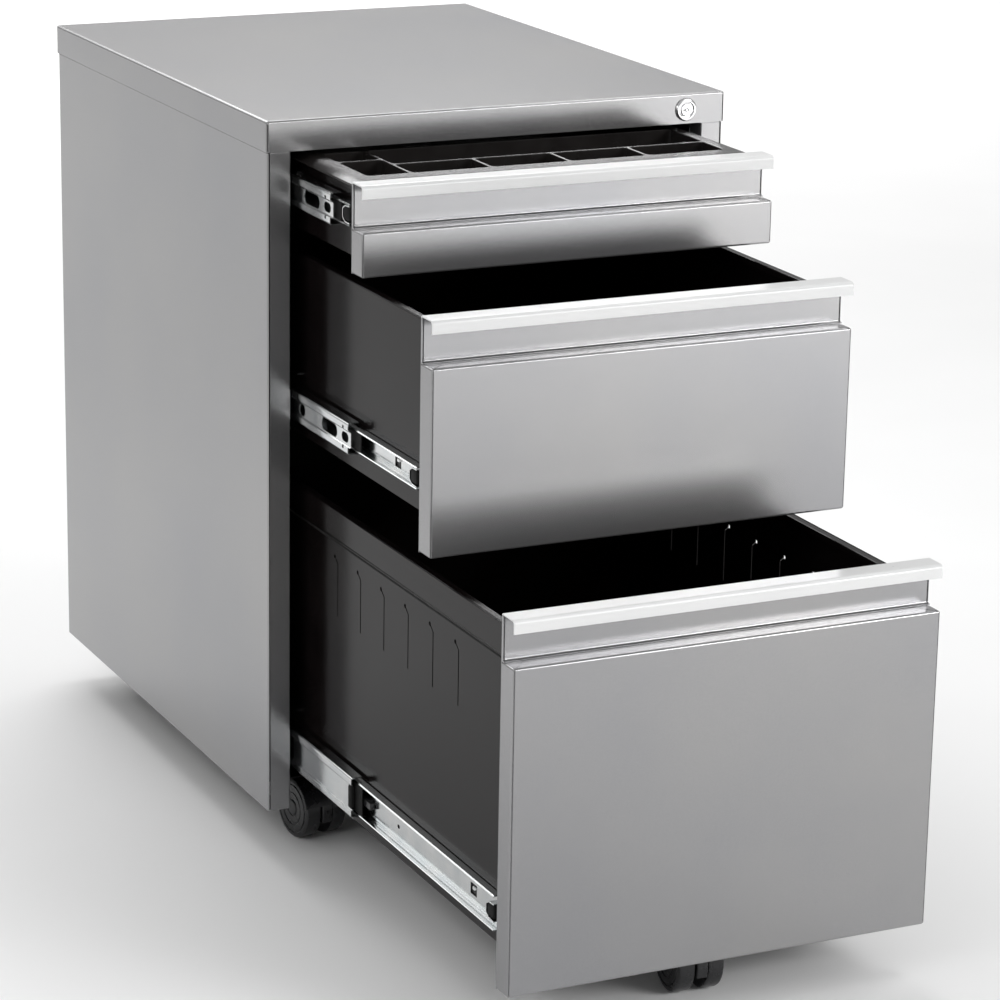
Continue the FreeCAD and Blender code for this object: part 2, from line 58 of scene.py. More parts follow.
class Finish:
    """A node material whose shader takes plain values, plus texture nodes for its variation."""

    def __init__(self, name, **values):
        self.material = bpy.data.materials.new(name)
        self.material.use_nodes = True
        self.tree = self.material.node_tree
        self.shader = self.tree.nodes["Principled BSDF"]
        for socket, value in values.items():
            self.shader.inputs[socket.replace("_", " ")].default_value = value
        self.place = self.tree.nodes.new("ShaderNodeTexCoord").outputs["Object"]

    def node(self, kind, inputs=(), **settings):
        """A new node; inputs maps its sockets to plain values or to other nodes' outputs."""
        made = self.tree.nodes.new(kind)
        for setting, value in settings.items():
            setattr(made, setting, value)
        for socket, value in dict(inputs).items():
            if isinstance(value, bpy.types.NodeSocket):
                self.tree.links.new(value, made.inputs[socket])
            else:
                made.inputs[socket].default_value = value
        return made

    def stretched(self, x, y, z):
        """The place on the piece with each axis scaled, for marks that run one way."""
        return self.node("ShaderNodeMapping", {"Vector": self.place, "Scale": (x, y, z)}).outputs[0]

    def noise(self, scale, detail=2.0, vector=None, roughness=0.5):
        """A soft random grey; a larger scale makes it finer."""
        inputs = {"Vector": vector or self.place, "Scale": scale, "Detail": detail, "Roughness": roughness}
        return self.node("ShaderNodeTexNoise", inputs).outputs[0]

    def cells(self, scale):
        """A random grey for each small cell, like flakes in a paint."""
        texture = self.node("ShaderNodeTexVoronoi", {"Vector": self.place, "Scale": scale})
        return self.node("ShaderNodeSeparateColor", {"Color": texture.outputs["Color"]}).outputs[0]

    def spread(self, value, low, high, start=0.0, end=1.0):
        """The value's range from start to end, mapped to low to high."""
        return self.node("ShaderNodeMapRange", {"Value": value, "From Min": start, "From Max": end,
                                                "To Min": low, "To Max": high}).outputs[0]

    def tinted(self, value, dark, light, start=0.3, end=0.7):
        """A colour that runs from dark to light with the value."""
        ramp = self.node("ShaderNodeValToRGB", {"Fac": value})
        ramp.color_ramp.elements[0].position = start
        ramp.color_ramp.elements[1].position = end
        ramp.color_ramp.elements[0].color = (*dark, 1.0)
        ramp.color_ramp.elements[1].color = (*light, 1.0)
        return ramp.outputs[0]

    def multiplied(self, first, second, share):
        """The first colour darkened by the second; share says how much."""
        mix = self.node("ShaderNodeMix", {0: share, 6: first, 7: second}, data_type="RGBA",
                        blend_type="MULTIPLY")
        return mix.outputs[2]

    def summed(self, first, second, share):
        """The first value plus a share of the second."""
        scaled = self.node("ShaderNodeMath", {0: second, 1: share}, operation="MULTIPLY").outputs[0]
        return self.node("ShaderNodeMath", {0: first, 1: scaled}, operation="ADD").outputs[0]

    def set(self, socket, output):
        """Lets a node's output drive one of the shader's inputs."""
        self.tree.links.new(output, self.shader.inputs[socket])

    def bump(self, height, depth_mm, strength=1.0):
        """A relief of the given depth."""
        inputs = {"Height": height, "Strength": strength, "Distance": depth_mm * MM}
        self.set("Normal", self.node("ShaderNodeBump", inputs).outputs[0])


def silver_paint():
    """Silver powder coat: fine metal flakes, a soft orange peel and slow drifts of tone."""
    finish = Finish("silver_powder_coat", Metallic=0.8, Roughness=0.24)
    drift = finish.tinted(finish.noise(5.0, 3.0), (0.335, 0.336, 0.345), (0.375, 0.371, 0.367))
    flakes = finish.tinted(finish.cells(1900.0), (0.80, 0.80, 0.82), (1.0, 1.0, 1.0), 0.0, 1.0)
    finish.set("Base Color", finish.multiplied(drift, flakes, 0.55))
    finish.set("Roughness", finish.spread(finish.noise(420.0, 2.0), 0.215, 0.258))
    peel = finish.summed(finish.noise(330.0, 2.0), finish.noise(1500.0, 1.0), 0.35)
    finish.bump(peel, 0.05, 0.22)
    return finish.material


def black_paint():
    """Black-brown powder coat of the drawer boxes, with a fine grain and faint rub marks."""
    finish = Finish("black_powder_coat", Roughness=0.20, Specular_IOR_Level=0.14)
    rubs = finish.noise(14.0, 5.0, finish.stretched(1.0, 0.35, 1.6), 0.65)
    tone = finish.tinted(rubs, (0.0040, 0.0030, 0.0030), (0.0072, 0.0056, 0.0056))
    finish.set("Base Color", tone)
    finish.set("Roughness", finish.spread(finish.noise(60.0, 4.0), 0.14, 0.20))
    finish.bump(finish.summed(finish.noise(900.0, 2.0), finish.noise(300.0, 1.0), 0.5), 0.03, 0.25)
    return finish.material


def zinc_steel(name="zinc_steel", along="y"):
    """Bright zinc plate, with draw lines along the y or z axis and cloudy passivation."""
    finish = Finish(name, Metallic=1.0, Roughness=0.26)
    across, lengthwise = 1400.0, 12.0
    scales = {"y": (across, lengthwise, across), "z": (across, across, lengthwise)}[along]
    lines = finish.noise(1.0, 3.0, finish.stretched(*scales))
    clouds = finish.noise(45.0, 4.0, None, 0.55)
    cloudy = finish.tinted(clouds, (0.66, 0.69, 0.70), (0.82, 0.825, 0.82))
    streaks = finish.tinted(lines, (0.90, 0.90, 0.90), (1.0, 1.0, 1.0))
    finish.set("Base Color", finish.multiplied(cloudy, streaks, 0.6))
    finish.set("Roughness", finish.spread(clouds, 0.12, 0.20, 0.3, 0.7))
    finish.bump(lines, 0.008, 0.15)
    return finish.material


def handle_grey():
    """Light grey enamel with a clear gloss over a very slight peel."""
    finish = Finish("handle_enamel", Roughness=0.30, Coat_Weight=0.5, Coat_Roughness=0.12)
    drift = finish.noise(9.0, 3.0)
    finish.set("Base Color", finish.tinted(drift, (0.73, 0.735, 0.735), (0.78, 0.782, 0.78)))
    finish.set("Roughness", finish.spread(finish.noise(500.0, 2.0), 0.25, 0.34))
    finish.bump(finish.noise(420.0, 2.0), 0.03, 0.20)
    return finish.material


def moulded_black(name, tone, low, high, grain, depth, shine=0.5):
    """Moulded black plastic with a fine spark-eroded grain."""
    finish = Finish(name, Specular_IOR_Level=shine)
    light = tuple(1.5 * channel for channel in tone)
    finish.set("Base Color", finish.tinted(finish.noise(25.0, 4.0), tone, light))
    finish.set("Roughness", finish.spread(finish.noise(90.0, 3.0), low, high, 0.3, 0.7))
    finish.bump(finish.summed(finish.noise(grain, 2.0), finish.noise(grain * 2.5, 1.0), 0.5), depth, 0.5)
    return finish.material


def lock_chrome():
    """Polished chrome with faint turning marks and a little handling haze."""
    finish = Finish("lock_chrome", Metallic=1.0, Roughness=0.12)
    haze = finish.noise(260.0, 4.0)
    finish.set("Base Color", finish.tinted(haze, (0.78, 0.78, 0.79), (0.88, 0.88, 0.885)))
    finish.set("Roughness", finish.spread(haze, 0.08, 0.20, 0.3, 0.7))
    finish.bump(finish.noise(2200.0, 1.0), 0.01, 0.2)
    return finish.material


FINISH = {
    "silver_paint": silver_paint(),
    "handle_grey": handle_grey(),
    "black_paint": black_paint(),
    "zinc_steel": zinc_steel(),
    "black_plastic": moulded_black("caster_plastic", (0.011, 0.011, 0.012), 0.22, 0.34, 1300.0, 0.02),
    "tray_plastic": moulded_black("tray_plastic", (0.0135, 0.012, 0.0115), 0.16, 0.26, 1500.0, 0.012),
    "lock_chrome": lock_chrome(),
    "bar_steel": zinc_steel("bar_steel", "z"),
}
RUBBER = moulded_black("bumper_rubber", (0.005, 0.005, 0.005), 0.6, 0.75, 900.0, 0.04, 0.2)


# ---------- shapes ----------

SHARP_ANGLE = math.radians(35.0)  # faces that meet at more than this keep a crisp edge


def in_mm(*points):
    """Points given in millimetres, in metres."""
    return [(u * MM, v * MM) for u, v in points]


def rounded_line(points, radii, steps):
    """A flat polyline whose corners are arcs, with a radius for each corner."""
    line = [points[0]]
    for before, corner, after, r in zip(points, points[1:], points[2:], radii):
        back = (before - corner).normalized()
        ahead = (after - corner).normalized()
        half = back.angle(ahead) / 2
        if r <= 0 or half > math.radians(89):
            line.append(corner)
            continue
        centre = corner + (back + ahead).normalized() * r / math.sin(half)
        first = corner + back * r / math.tan(half) - centre
        last = corner + ahead * r / math.tan(half) - centre
        turn = math.atan2(first.x * last.y - first.y * last.x, first.dot(last))
        for i in range(steps + 1):
            line.append(centre + Matrix.Rotation(turn * i / steps, 2) @ first)
    return line + [points[-1]]


def offset_line(line, gauge):
    """The line moved to its left by the gauge."""
    ways = [(b - a).normalized() for a, b in zip(line, line[1:])]
    moved = []
    for i, point in enumerate(line):
        before, after = ways[max(i - 1, 0)], ways[min(i, len(ways) - 1)]
        middle = (before + after).normalized()
        moved.append(point + Vector((-middle.y, middle.x)) * gauge / middle.dot(after))
    return moved


# A station along the named axis and a point across it, as a point in space.
IN_SPACE = {
    "x": lambda s, u, v: (s, u, v),
    "y": lambda s, u, v: (u, s, v),
    "z": lambda s, u, v: (u, v, s),
}


def rolled(axis, points, radius, gauge, start, end, steps=5):
    """Sheet with the folded section given by the points, run along an axis.

    radius is one number, or one for each bend, which is round on both sides. The metal lies to the
    line's left, or to its right with a gauge below zero.
    """
    sharp = [Vector(point) for point in points]
    corners = list(zip(sharp, sharp[1:], sharp[2:]))
    radii = list(radius) if isinstance(radius, (list, tuple)) else [radius] * len(corners)
    tightest = 0.05 * MM
    inner = []
    for (before, corner, after), bend in zip(corners, radii):
        inward = (corner - before).cross(after - corner) * gauge > 0
        inner.append(max(bend - abs(gauge) if inward else bend + abs(gauge), tightest))
    line = rounded_line(sharp, radii, steps)
    rims = [line, rounded_line(offset_line(sharp, gauge), inner, steps)]
    bm = bmesh.new()
    rows = [[[bm.verts.new(IN_SPACE[axis](s, *p)) for p in rim] for rim in rims] for s in (start, end)]
    (near_out, near_in), (far_out, far_in) = rows
    for i in range(len(line) - 1):
        bm.faces.new((near_out[i], near_out[i + 1], far_out[i + 1], far_out[i]))
        bm.faces.new((near_in[i + 1], near_in[i], far_in[i], far_in[i + 1]))
        bm.faces.new((near_out[i + 1], near_out[i], near_in[i], near_in[i + 1]))
        bm.faces.new((far_out[i], far_out[i + 1], far_in[i + 1], far_in[i]))
    for i in (0, -1):
        bm.faces.new((near_out[i], far_out[i], far_in[i], near_in[i]))
    bmesh.ops.recalc_face_normals(bm, faces=bm.faces)
    return bm


def block(low, high, radius=0.0, steps=3, where=None):
    """A block whose edges are rounded, or only the edges whose middle passes the test where."""
    low, high = Vector(low), Vector(high)
    bm = bmesh.new()
    bmesh.ops.create_cube(bm, size=1.0)
    for vert in bm.verts:
        vert.co = Vector((low[i] if vert.co[i] < 0 else high[i]) for i in range(3))
    if radius > 0:
        middle = [(edge, (edge.verts[0].co + edge.verts[1].co) / 2) for edge in bm.edges]
        chosen = [edge for edge, m in middle if where is None or where(m)]
        bmesh.ops.bevel(bm, geom=chosen, offset=radius, segments=steps, profile=0.5, affect="EDGES",
                        clamp_overlap=True)
    bmesh.ops.recalc_face_normals(bm, faces=bm.faces)
    return bm


def lathe(axis, centre, profile, segments, closed=False):
    """A turned shape. profile is a list of (station along the axis, radius); closed makes it a ring."""
    centre = Vector(centre)
    bm = bmesh.new()
    turns = [2 * math.pi * i / segments for i in range(segments)]
    rings = []
    for station, radius in profile:
        if radius < 1e-7:
            rings.append([bm.verts.new(centre + Vector(IN_SPACE[axis](station, 0, 0)))])
            continue
        places = [IN_SPACE[axis](station, radius * math.cos(turn), radius * math.sin(turn))
                  for turn in turns]
        rings.append([bm.verts.new(centre + Vector(place)) for place in places])
    pairs = list(zip(rings, rings[1:]))
    if closed:
        pairs.append((rings[-1], rings[0]))
    for first, second in pairs:
        for i in range(segments):
            j = (i + 1) % segments
            corners = [first[i % len(first)], first[j % len(first)], second[j % len(second)],
                       second[i % len(second)]]
            corners = list(dict.fromkeys(corners))
            if len(corners) > 2:
                bm.faces.new(corners)
    bmesh.ops.recalc_face_normals(bm, faces=bm.faces)
    return bm


def prism(axis, outline, start, end):
    """A flat outline run along an axis."""
    bm = bmesh.new()
    near = [bm.verts.new(IN_SPACE[axis](start, *p)) for p in outline]
    far = [bm.verts.new(IN_SPACE[axis](end, *p)) for p in outline]
    bm.faces.new(near)
    bm.faces.new(list(reversed(far)))
    for i in range(len(outline)):
        j = (i + 1) % len(outline)
        bm.faces.new((near[j], near[i], far[i], far[j]))
    bmesh.ops.recalc_face_normals(bm, faces=bm.faces)
    return bm


def obround(centre, half_length, half_height):
    """The outline of a slot with round ends."""
    steps = 8
    u, v = centre
    radius = min(half_height, half_length)
    points = []
    for side, first in ((1, -math.pi / 2), (-1, math.pi / 2)):
        for i in range(steps + 1):
            turn = first + math.pi * i / steps
            points.append((u + side * (half_length - radius) + radius * math.cos(turn),
                           v + radius * math.sin(turn)))
    return points


def joined(*parts):
    """Several shapes as one, without changing their faces."""
    whole = bmesh.new()
    for part in parts:
        mesh = bpy.data.meshes.new("part")
        part.to_mesh(mesh)
        part.free()
        whole.from_mesh(mesh)
        bpy.data.meshes.remove(mesh)
    return whole


def twin(bm):
    """A mirror image on the cabinet's other side."""
    other = bm.copy()
    for vert in other.verts:
        vert.co.x = -vert.co.x
    bmesh.ops.reverse_faces(other, faces=other.faces)
    return other


def pair(left):
    """The left shape together with its mirror image."""
    return joined(left, twin(left))


def turned(bm, matrix):
    """The shape moved by the matrix."""
    bmesh.ops.transform(bm, matrix=matrix, verts=bm.verts)
    return bm


def held(bm, name):
    """A scene object that holds the shape."""
    mesh = bpy.data.meshes.new(name)
    bm.to_mesh(mesh)
    bm.free()
    holder = bpy.data.objects.new(name, mesh)
    bpy.context.scene.collection.objects.link(holder)
    return holder


def combined(bm, tools, operation):
    """The shape after a boolean operation with each of the tools."""
    base = held(bm, "base")
    holders = [held(tool, "tool") for tool in tools]
    for holder in holders:
        step = base.modifiers.new("step", "BOOLEAN")
        step.operation = operation
        step.solver = "EXACT"
        step.object = holder
    graph = bpy.context.evaluated_depsgraph_get()
    mesh = bpy.data.meshes.new_from_object(base.evaluated_get(graph))
    result = bmesh.new()
    result.from_mesh(mesh)
    for leftover in [base, *holders]:
        old = leftover.data
        bpy.data.objects.remove(leftover)
        bpy.data.meshes.remove(old)
    bpy.data.meshes.remove(mesh)
    return result


def carved(bm, *cutters):
    """The shape without the space of the cutters."""
    return combined(bm, cutters, "DIFFERENCE")


def fused(first, second):
    """Two overlapping shapes as one skin."""
    return combined(first, [second], "UNION")


def soften(piece, width_mm):
    """Rounds the piece's sharp edges a little, so that they catch the light."""
    rounding = piece.modifiers.new("edges", "BEVEL")
    rounding.width = width_mm * MM
    rounding.segments = 2
    rounding.limit_method = "ANGLE"
    rounding.angle_limit = SHARP_ANGLE
    rounding.use_clamp_overlap = True
    flow = piece.modifiers.new("normals", "WEIGHTED_NORMAL")
    flow.keep_sharp = True


def show(name, bm, body, slot, stands_for, edge, finish=None):
    """Makes a finished piece of the object from a shape.

    stands_for lists the drawn parts it replaces, edge is the width in millimetres of its rounded edges,
    and finish is its material where that isn't the slot's own.
    """
    piece = held(bm, name)
    piece.data.materials.append(finish or FINISH[slot])
    for face in piece.data.polygons:
        face.use_smooth = True
    piece.data.set_sharp_from_angle(angle=SHARP_ANGLE)
    if edge > 0:
        soften(piece, edge)
    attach(piece, body)
    if stands_for:
        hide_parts(*stands_for)


# ---------- cabinet ----------

def make_top_cover():
    """The folded cover with its skirt, a seam at each corner and the hole for the lock."""
    low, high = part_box("top_cover")
    bend = 2.0 * MM
    shell = block(low, high, bend, 4, lambda m: m.z > low.z + MM)
    inside = block(low + Vector((SHEET, SHEET, -10 * SHEET)), high - Vector((SHEET, SHEET, SHEET)),
                   bend - SHEET, 3, lambda m: m.z > low.z - 9 * SHEET)
    seams = []
    for x in (low.x + 0.7 * MM, high.x - 1.7 * MM):
        for y in (low.y, high.y):
            seams.append(block((x, y - 2.5 * MM, low.z - MM),
                               (x + 1.0 * MM, y + 2.5 * MM, high.z - 2.4 * MM)))
    lock_low, lock_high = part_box("lock_housing")
    middle = (lock_low + lock_high) / 2
    hole = lathe("y", (middle.x, low.y, middle.z), in_mm((-2, 0), (-2, 8.1), (2, 8.1), (2, 0)), 40)
    show("top_cover_panel", carved(shell, inside, hole, *seams), "cabinet", "silver_paint",
         ["top_cover"], 0.12)


def make_side(side):
    """A side panel: one sheet folded into the front post and round the rear, with a flange at its foot."""
    low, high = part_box("left_side_panel")
    cover_low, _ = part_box("top_cover")
    fold = low.x + 14 * MM
    section = [(high.x, low.y + 17 * MM), (high.x, low.y), (low.x, low.y), (low.x, high.y - SHEET),
               (fold, high.y - SHEET)]
    sheet = rolled("z", section, [1.4 * MM] * 3, -SHEET, low.z, high.z)
    flange = block((low.x + 0.6 * MM, low.y + 1.2 * MM, low.z), (fold, high.y - 1.5 * MM, low.z + SHEET),
                   0.4 * MM, 2)
    seam = block((low.x + 1.1 * MM, low.y - MM, low.z - MM),
                 (low.x + 2.1 * MM, low.y + 1.2 * MM, high.z + MM))
    side_gap = block((low.x - MM, low.y - MM, cover_low.z - 0.7 * MM),
                     (low.x + 0.55 * MM, high.y + MM, cover_low.z + 0.6 * MM))
    front_gap = block((low.x - MM, low.y - MM, cover_low.z - 0.9 * MM),
                      (high.x + MM, low.y + 0.8 * MM, cover_low.z + 0.6 * MM))
    panel = joined(carved(sheet, seam, side_gap, front_gap), flange)
    if side == "right":
        panel = twin(panel)
    show(f"{side}_side_sheet", panel, "cabinet", "silver_paint", [f"{side}_side_panel"], 0.10)


def make_back():
    """The flat back sheet, with a row of shallow weld dimples beside each edge."""
    low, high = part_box("back_panel")
    sheet = block(low, high, 0.3 * MM, 2)
    dimple = in_mm((-0.25, 0), (-0.25, 1.6), (0.2, 2.6), (0.2, 0))
    heights = [low.z + (30 + 60 * i) * MM for i in range(9)]
    welds = [lathe("y", (x, high.y, z), dimple, 20)
             for z in heights for x in (low.x + 8 * MM, high.x - 8 * MM)]
    show("back_sheet", carved(sheet, joined(*welds)), "cabinet", "silver_paint", ["back_panel"], 0.05)


make_top_cover()
make_side("left")
make_side("right")
make_back()


# ---------- telescopic slides ----------

def make_outer_member(n):
    """The members on the case: a C-channel with mounting slots, and a plastic stop at its rear end."""
    low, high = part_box(f"drawer_{n}_outer_slides")
    far = low.x + 9.5 * MM
    section = [(far, high.z), (low.x, high.z), (low.x, low.z), (far, low.z)]
    channel = rolled("y", section, 2.0 * MM, 1.1 * MM, low.y, high.y)
    level = (low.z + high.z) / 2
    holes = [prism("x", obround((low.y + station * MM, level), 5 * MM, 2.4 * MM), low.x - MM, low.x + 2 * MM)
             for station in (14, 60, 200, 330, 430)]
    stop = block((low.x + 1.3 * MM, high.y - 9 * MM, low.z + 2 * MM),
                 (low.x + 4.8 * MM, high.y - MM, high.z - 2 * MM), 1.2 * MM)
    show(f"outer_members_{n}", pair(carved(channel, *holes)), "cabinet", "zinc_steel",
         [f"drawer_{n}_outer_slides"], 0.1)
    show(f"rear_stops_{n}", pair(stop), "cabinet", "black_plastic", (), 0)


def make_middle_member(n):
    """A channel with a sunk web between two raceway bands, and a shaped front end."""
    low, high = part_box(f"drawer_{n}_middle_slides")
    near, far, start = low.x, low.x + 9.0 * MM, low.y
    gauge = 0.9 * MM
    band = 6.0 * MM
    web = near + 1.1 * MM
    shoulder = band + 1.2 * MM
    section = [(far, high.z), (near, high.z), (near, high.z - band), (web, high.z - shoulder),
               (web, low.z + shoulder), (near, low.z + band), (near, low.z), (far, low.z)]
    channel = rolled("y", section, [2.2 * MM] + [0.6 * MM] * 4 + [2.2 * MM], gauge, low.y, high.y)
    level = (low.z + high.z) / 2
    outside, inside = near - MM, near + 4 * MM

    def opening(station, half_length, half_height):
        """A round-ended slot through the web; station is its distance in mm from the front end."""
        outline = obround((start + station * MM, level), half_length * MM, half_height * MM)
        return prism("x", outline, outside, inside)

    cutters = [opening(170, 6, 2.2), opening(300, 13, 2.6)]
    if n == 3:
        cutters.append(block((outside, start - MM, low.z + shoulder),
                             (inside, start + 7 * MM, high.z - shoulder)))
        bumper = block((near + 0.2 * MM, start + 0.6 * MM, low.z + shoulder + 0.3 * MM),
                       (inside, start + 6.8 * MM, high.z - shoulder - 0.3 * MM), 1.2 * MM)
        show("middle_bumpers_3", pair(bumper), "middle_slides_3", "black_plastic", (), 0, RUBBER)
    else:
        cutters += [opening(11, 6.5, 3.7), opening(41.3, 15.3, 5.0), opening(95, 6, 4.5)]
        bands = ((low.z - MM, low.z + band + 0.3 * MM), (high.z - band - 0.3 * MM, high.z + MM))
        for band_low, band_high in bands:
            cutters.append(block((outside, start - MM, band_low), (far + MM, start + 3.6 * MM, band_high)))
        for z in (high.z - 5 * MM, low.z + 5 * MM):
            cutters.append(block((outside, start + 11.2 * MM, z - 1.3 * MM),
                                 (near + 2 * MM, start + 14.2 * MM, z + 1.3 * MM)))
    show(f"middle_members_{n}", pair(carved(channel, *cutters)), f"middle_slides_{n}", "zinc_steel",
         [f"drawer_{n}_middle_slides"], 0.12)
    make_ball_retainer(n, start)


def make_ball_retainer(n, front):
    """The plastic strip that carries the balls in the inner member's channel."""
    low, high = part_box(f"drawer_{n}_inner_slides")
    outer, deep = low.x + 0.3 * MM, low.x + 3.6 * MM
    top, bottom = high.z - 1.5 * MM, low.z + 1.5 * MM
    start = max(front - 12 * MM, low.y + 14.5 * MM)
    section = [(deep, top), (outer, top), (outer, bottom), (deep, bottom)]
    left = rolled("y", section, 1.4 * MM, 1.0 * MM, start, front + 24 * MM)
    show(f"ball_retainers_{n}", pair(left), f"drawer_{n}", "black_plastic", (), 0.2, RUBBER)


def make_inner_member(n):
    """The member on the drawer's wall: a channel with rolled lips, a bent tab and a buffer in front."""
    low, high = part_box(f"drawer_{n}_inner_slides")
    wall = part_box("drawer_1_left_wall")[0].x
    gauge = 0.9 * MM
    web = wall - 0.4 * MM
    lip = 0.9 * MM
    section = [(low.x, high.z - lip), (low.x + lip, high.z), (wall, high.z), (wall, high.z - 3.0 * MM),
               (web, high.z - 3.6 * MM), (web, low.z + 3.6 * MM), (wall, low.z + 3.0 * MM), (wall, low.z),
               (low.x + lip, low.z), (low.x, low.z + lip)]
    bends = [0.4 * MM, 1.2 * MM, 0.3 * MM, 0.3 * MM]
    channel = rolled("y", section, bends + bends[::-1], -gauge, low.y, high.y)
    level = (low.z + high.z) / 2
    outside, inside = wall - 3 * MM, wall + MM
    tab_start, tab_end = low.y + 40 * MM, low.y + 51 * MM
    holes = [block((outside, tab_start, level - 4.2 * MM), (inside, tab_end, level + 4.6 * MM), 0.6 * MM, 2)]
    for share, half_length, half_height in ((0.40, 2.2, 1.6), (0.50, 2.2, 1.5), (0.85, 6.0, 2.2)):
        station = low.y + share * (high.y - low.y)
        outline = obround((station, level), half_length * MM, half_height * MM)
        holes.append(prism("x", outline, outside, inside))
    tab = block((wall - 3.0 * MM, tab_start + 0.5 * MM, level + 1.2 * MM),
                (wall - MM, tab_start + 4 * MM, level + 3.6 * MM), 0.4 * MM, 2)
    clip_x = (low.x + 0.6 * MM, wall - 1.2 * MM)
    upper_half = [(0.4, 6.8), (8.5, 6.4), (13.4, 3.6)]
    lower_half = [(along, -up) for along, up in reversed(upper_half)]
    clip_line = [(low.y + along * MM, level + up * MM) for along, up in upper_half + lower_half]
    clip = rolled("x", clip_line, 1.6 * MM, -0.8 * MM, *clip_x)
    left = joined(carved(channel, *holes), tab, clip)
    show(f"inner_members_{n}", pair(left), f"drawer_{n}", "zinc_steel", [f"drawer_{n}_inner_slides"], 0.1)
    bumper = block((clip_x[0] + 0.4 * MM, low.y + 0.6 * MM, level - 5.2 * MM),
                   (clip_x[1], low.y + 12 * MM, level + 5.2 * MM), 1.6 * MM, 4)
    show(f"drawer_bumpers_{n}", pair(bumper), f"drawer_{n}", "black_plastic", (), 0, RUBBER)


for n in DRAWERS:
    make_outer_member(n)
    make_middle_member(n)
    make_inner_member(n)


# ---------- drawers ----------

RAIL_HEIGHT = 23.5 * MM  # the rail along the top of a file drawer's wall, down to its hem
CATCH_DEPTHS = {1: 80 * MM, 2: 180 * MM, 3: 450 * MM}  # each drawer's lock catch, below the cabinet's top


def make_handle(n):
    """The light rail along the front's top edge: a flat top and a lip, both of one bent sheet."""
    low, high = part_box(f"drawer_{n}_handle")
    gauge = 1.2 * MM
    hook = [(high.y, high.z - 1.5 * MM), (high.y, high.z), (low.y, high.z), (low.y, high.z - 10 * MM)]
    rail = rolled("x", hook, [1.0 * MM, 3.2 * MM], gauge, low.x, high.x, 7)
    show(f"handle_rail_{n}", rail, f"drawer_{n}", "handle_grey", [f"drawer_{n}_handle"], 0.3)


def corner_grooves(low, high, start, end):
    """The fold lines beside a front sheet's two upright edges."""
    return [block((x, start, low.z - MM), (x + 1.1 * MM, end, high.z + MM))
            for x in (low.x + 0.4 * MM, high.x - 1.5 * MM)]


def make_plate(n):
    """The sunk plate behind the finger gap, rolled forward onto the ledge of the pan below it."""
    low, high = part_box(f"drawer_{n}_front_plate")
    _, handle_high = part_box(f"drawer_{n}_handle")
    _, pan_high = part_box(f"drawer_{n}_front_pan")
    front, roll, gauge = low.y - MM, 1.6 * MM, 0.8 * MM
    centre = (front - roll, pan_high.z + gauge + roll)
    turns = [math.radians(15 * i) for i in range(7)]
    curve = [(centre[0] + roll * math.cos(turn), centre[1] - roll * math.sin(turn)) for turn in turns]
    lip = centre[0] - 0.9 * MM
    top = handle_high.z - 1.3 * MM
    outline = [(high.y, low.z), (high.y, top), (front, top), *curve, (lip, pan_high.z + gauge),
               (lip, pan_high.z), (low.y, pan_high.z), (low.y, low.z)]
    sheet = prism("x", outline, low.x, high.x)
    groove_low = Vector((low.x, 0, pan_high.z + 2 * MM))
    grooves = corner_grooves(groove_low, high, front - MM, front + 1.5 * MM)
    show(f"front_plate_{n}", carved(sheet, *grooves), f"drawer_{n}", "silver_paint",
         [f"drawer_{n}_front_plate"], 0.1)


def make_pan(n):
    """The box-shaped face: a bent sheet with mitred top corners and a seam behind its ledge."""
    low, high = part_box(f"drawer_{n}_front_pan")
    bend = 1.8 * MM
    shell = block(low, high, bend, 4, lambda m: m.y < high.y - MM)
    inside = block(low + Vector((SHEET, SHEET, SHEET)), high + Vector((-SHEET, 10 * SHEET, -SHEET)),
                   bend - 0.6 * SHEET, 2, lambda m: m.y < high.y + 9 * SHEET)
    depth = high.y - low.y
    cutters = [inside, *corner_grooves(low, high, low.y - MM, low.y + 1.2 * MM)]
    for x, way in ((low.x, 1), (high.x, -1)):
        mitre = [(x + way * 0.4 * MM, low.y - MM), (x + way * 1.3 * MM, low.y - MM),
                 (x + way * (depth + 0.9 * MM), high.y + MM), (x + way * depth, high.y + MM)]
        cutters.append(prism("z", mitre, high.z - 0.7 * MM, high.z + MM))
    seam_back = high.y - 3.6 * MM
    cutters.append(block((low.x + 2 * MM, seam_back - 0.9 * MM, high.z - 0.8 * MM),
                         (high.x - 2 * MM, seam_back, high.z + MM)))
    show(f"front_pan_{n}", carved(shell, *cutters), f"drawer_{n}", "silver_paint",
         [f"drawer_{n}_front_pan"], 0.1)


def folder_cutters(high, outside, first, step):
    """Upright slits for the folder hooks: each has a bent top that ends in a small round hole.

    first is the place of the first slit along the wall, and step is the way the others follow, 1 or -1.
    """
    pitch, length, half_width = 44.3 * MM, 41.5 * MM, 0.7 * MM
    start, end = outside - 3.5 * MM, outside + 2.5 * MM
    top = high.z - 42.5 * MM
    eye = [(start, 0), (start, 1.7 * MM), (end, 1.7 * MM), (end, 0)]
    cutters = []
    for i in range(6):
        y = first + step * i * pitch
        bent = y + step * 5.2 * MM
        slit = [(y - half_width, top - length), (y + half_width, top - length), (y + half_width, top),
                (bent + half_width, top + 4.2 * MM), (bent - half_width, top + 4.6 * MM),
                (y - half_width, top + 0.6 * MM)]
        cutters.append(prism("x", slit, start, end))
        cutters.append(lathe("x", (0, y + step * 6 * MM, top + 5 * MM), eye, 24))
    return cutters


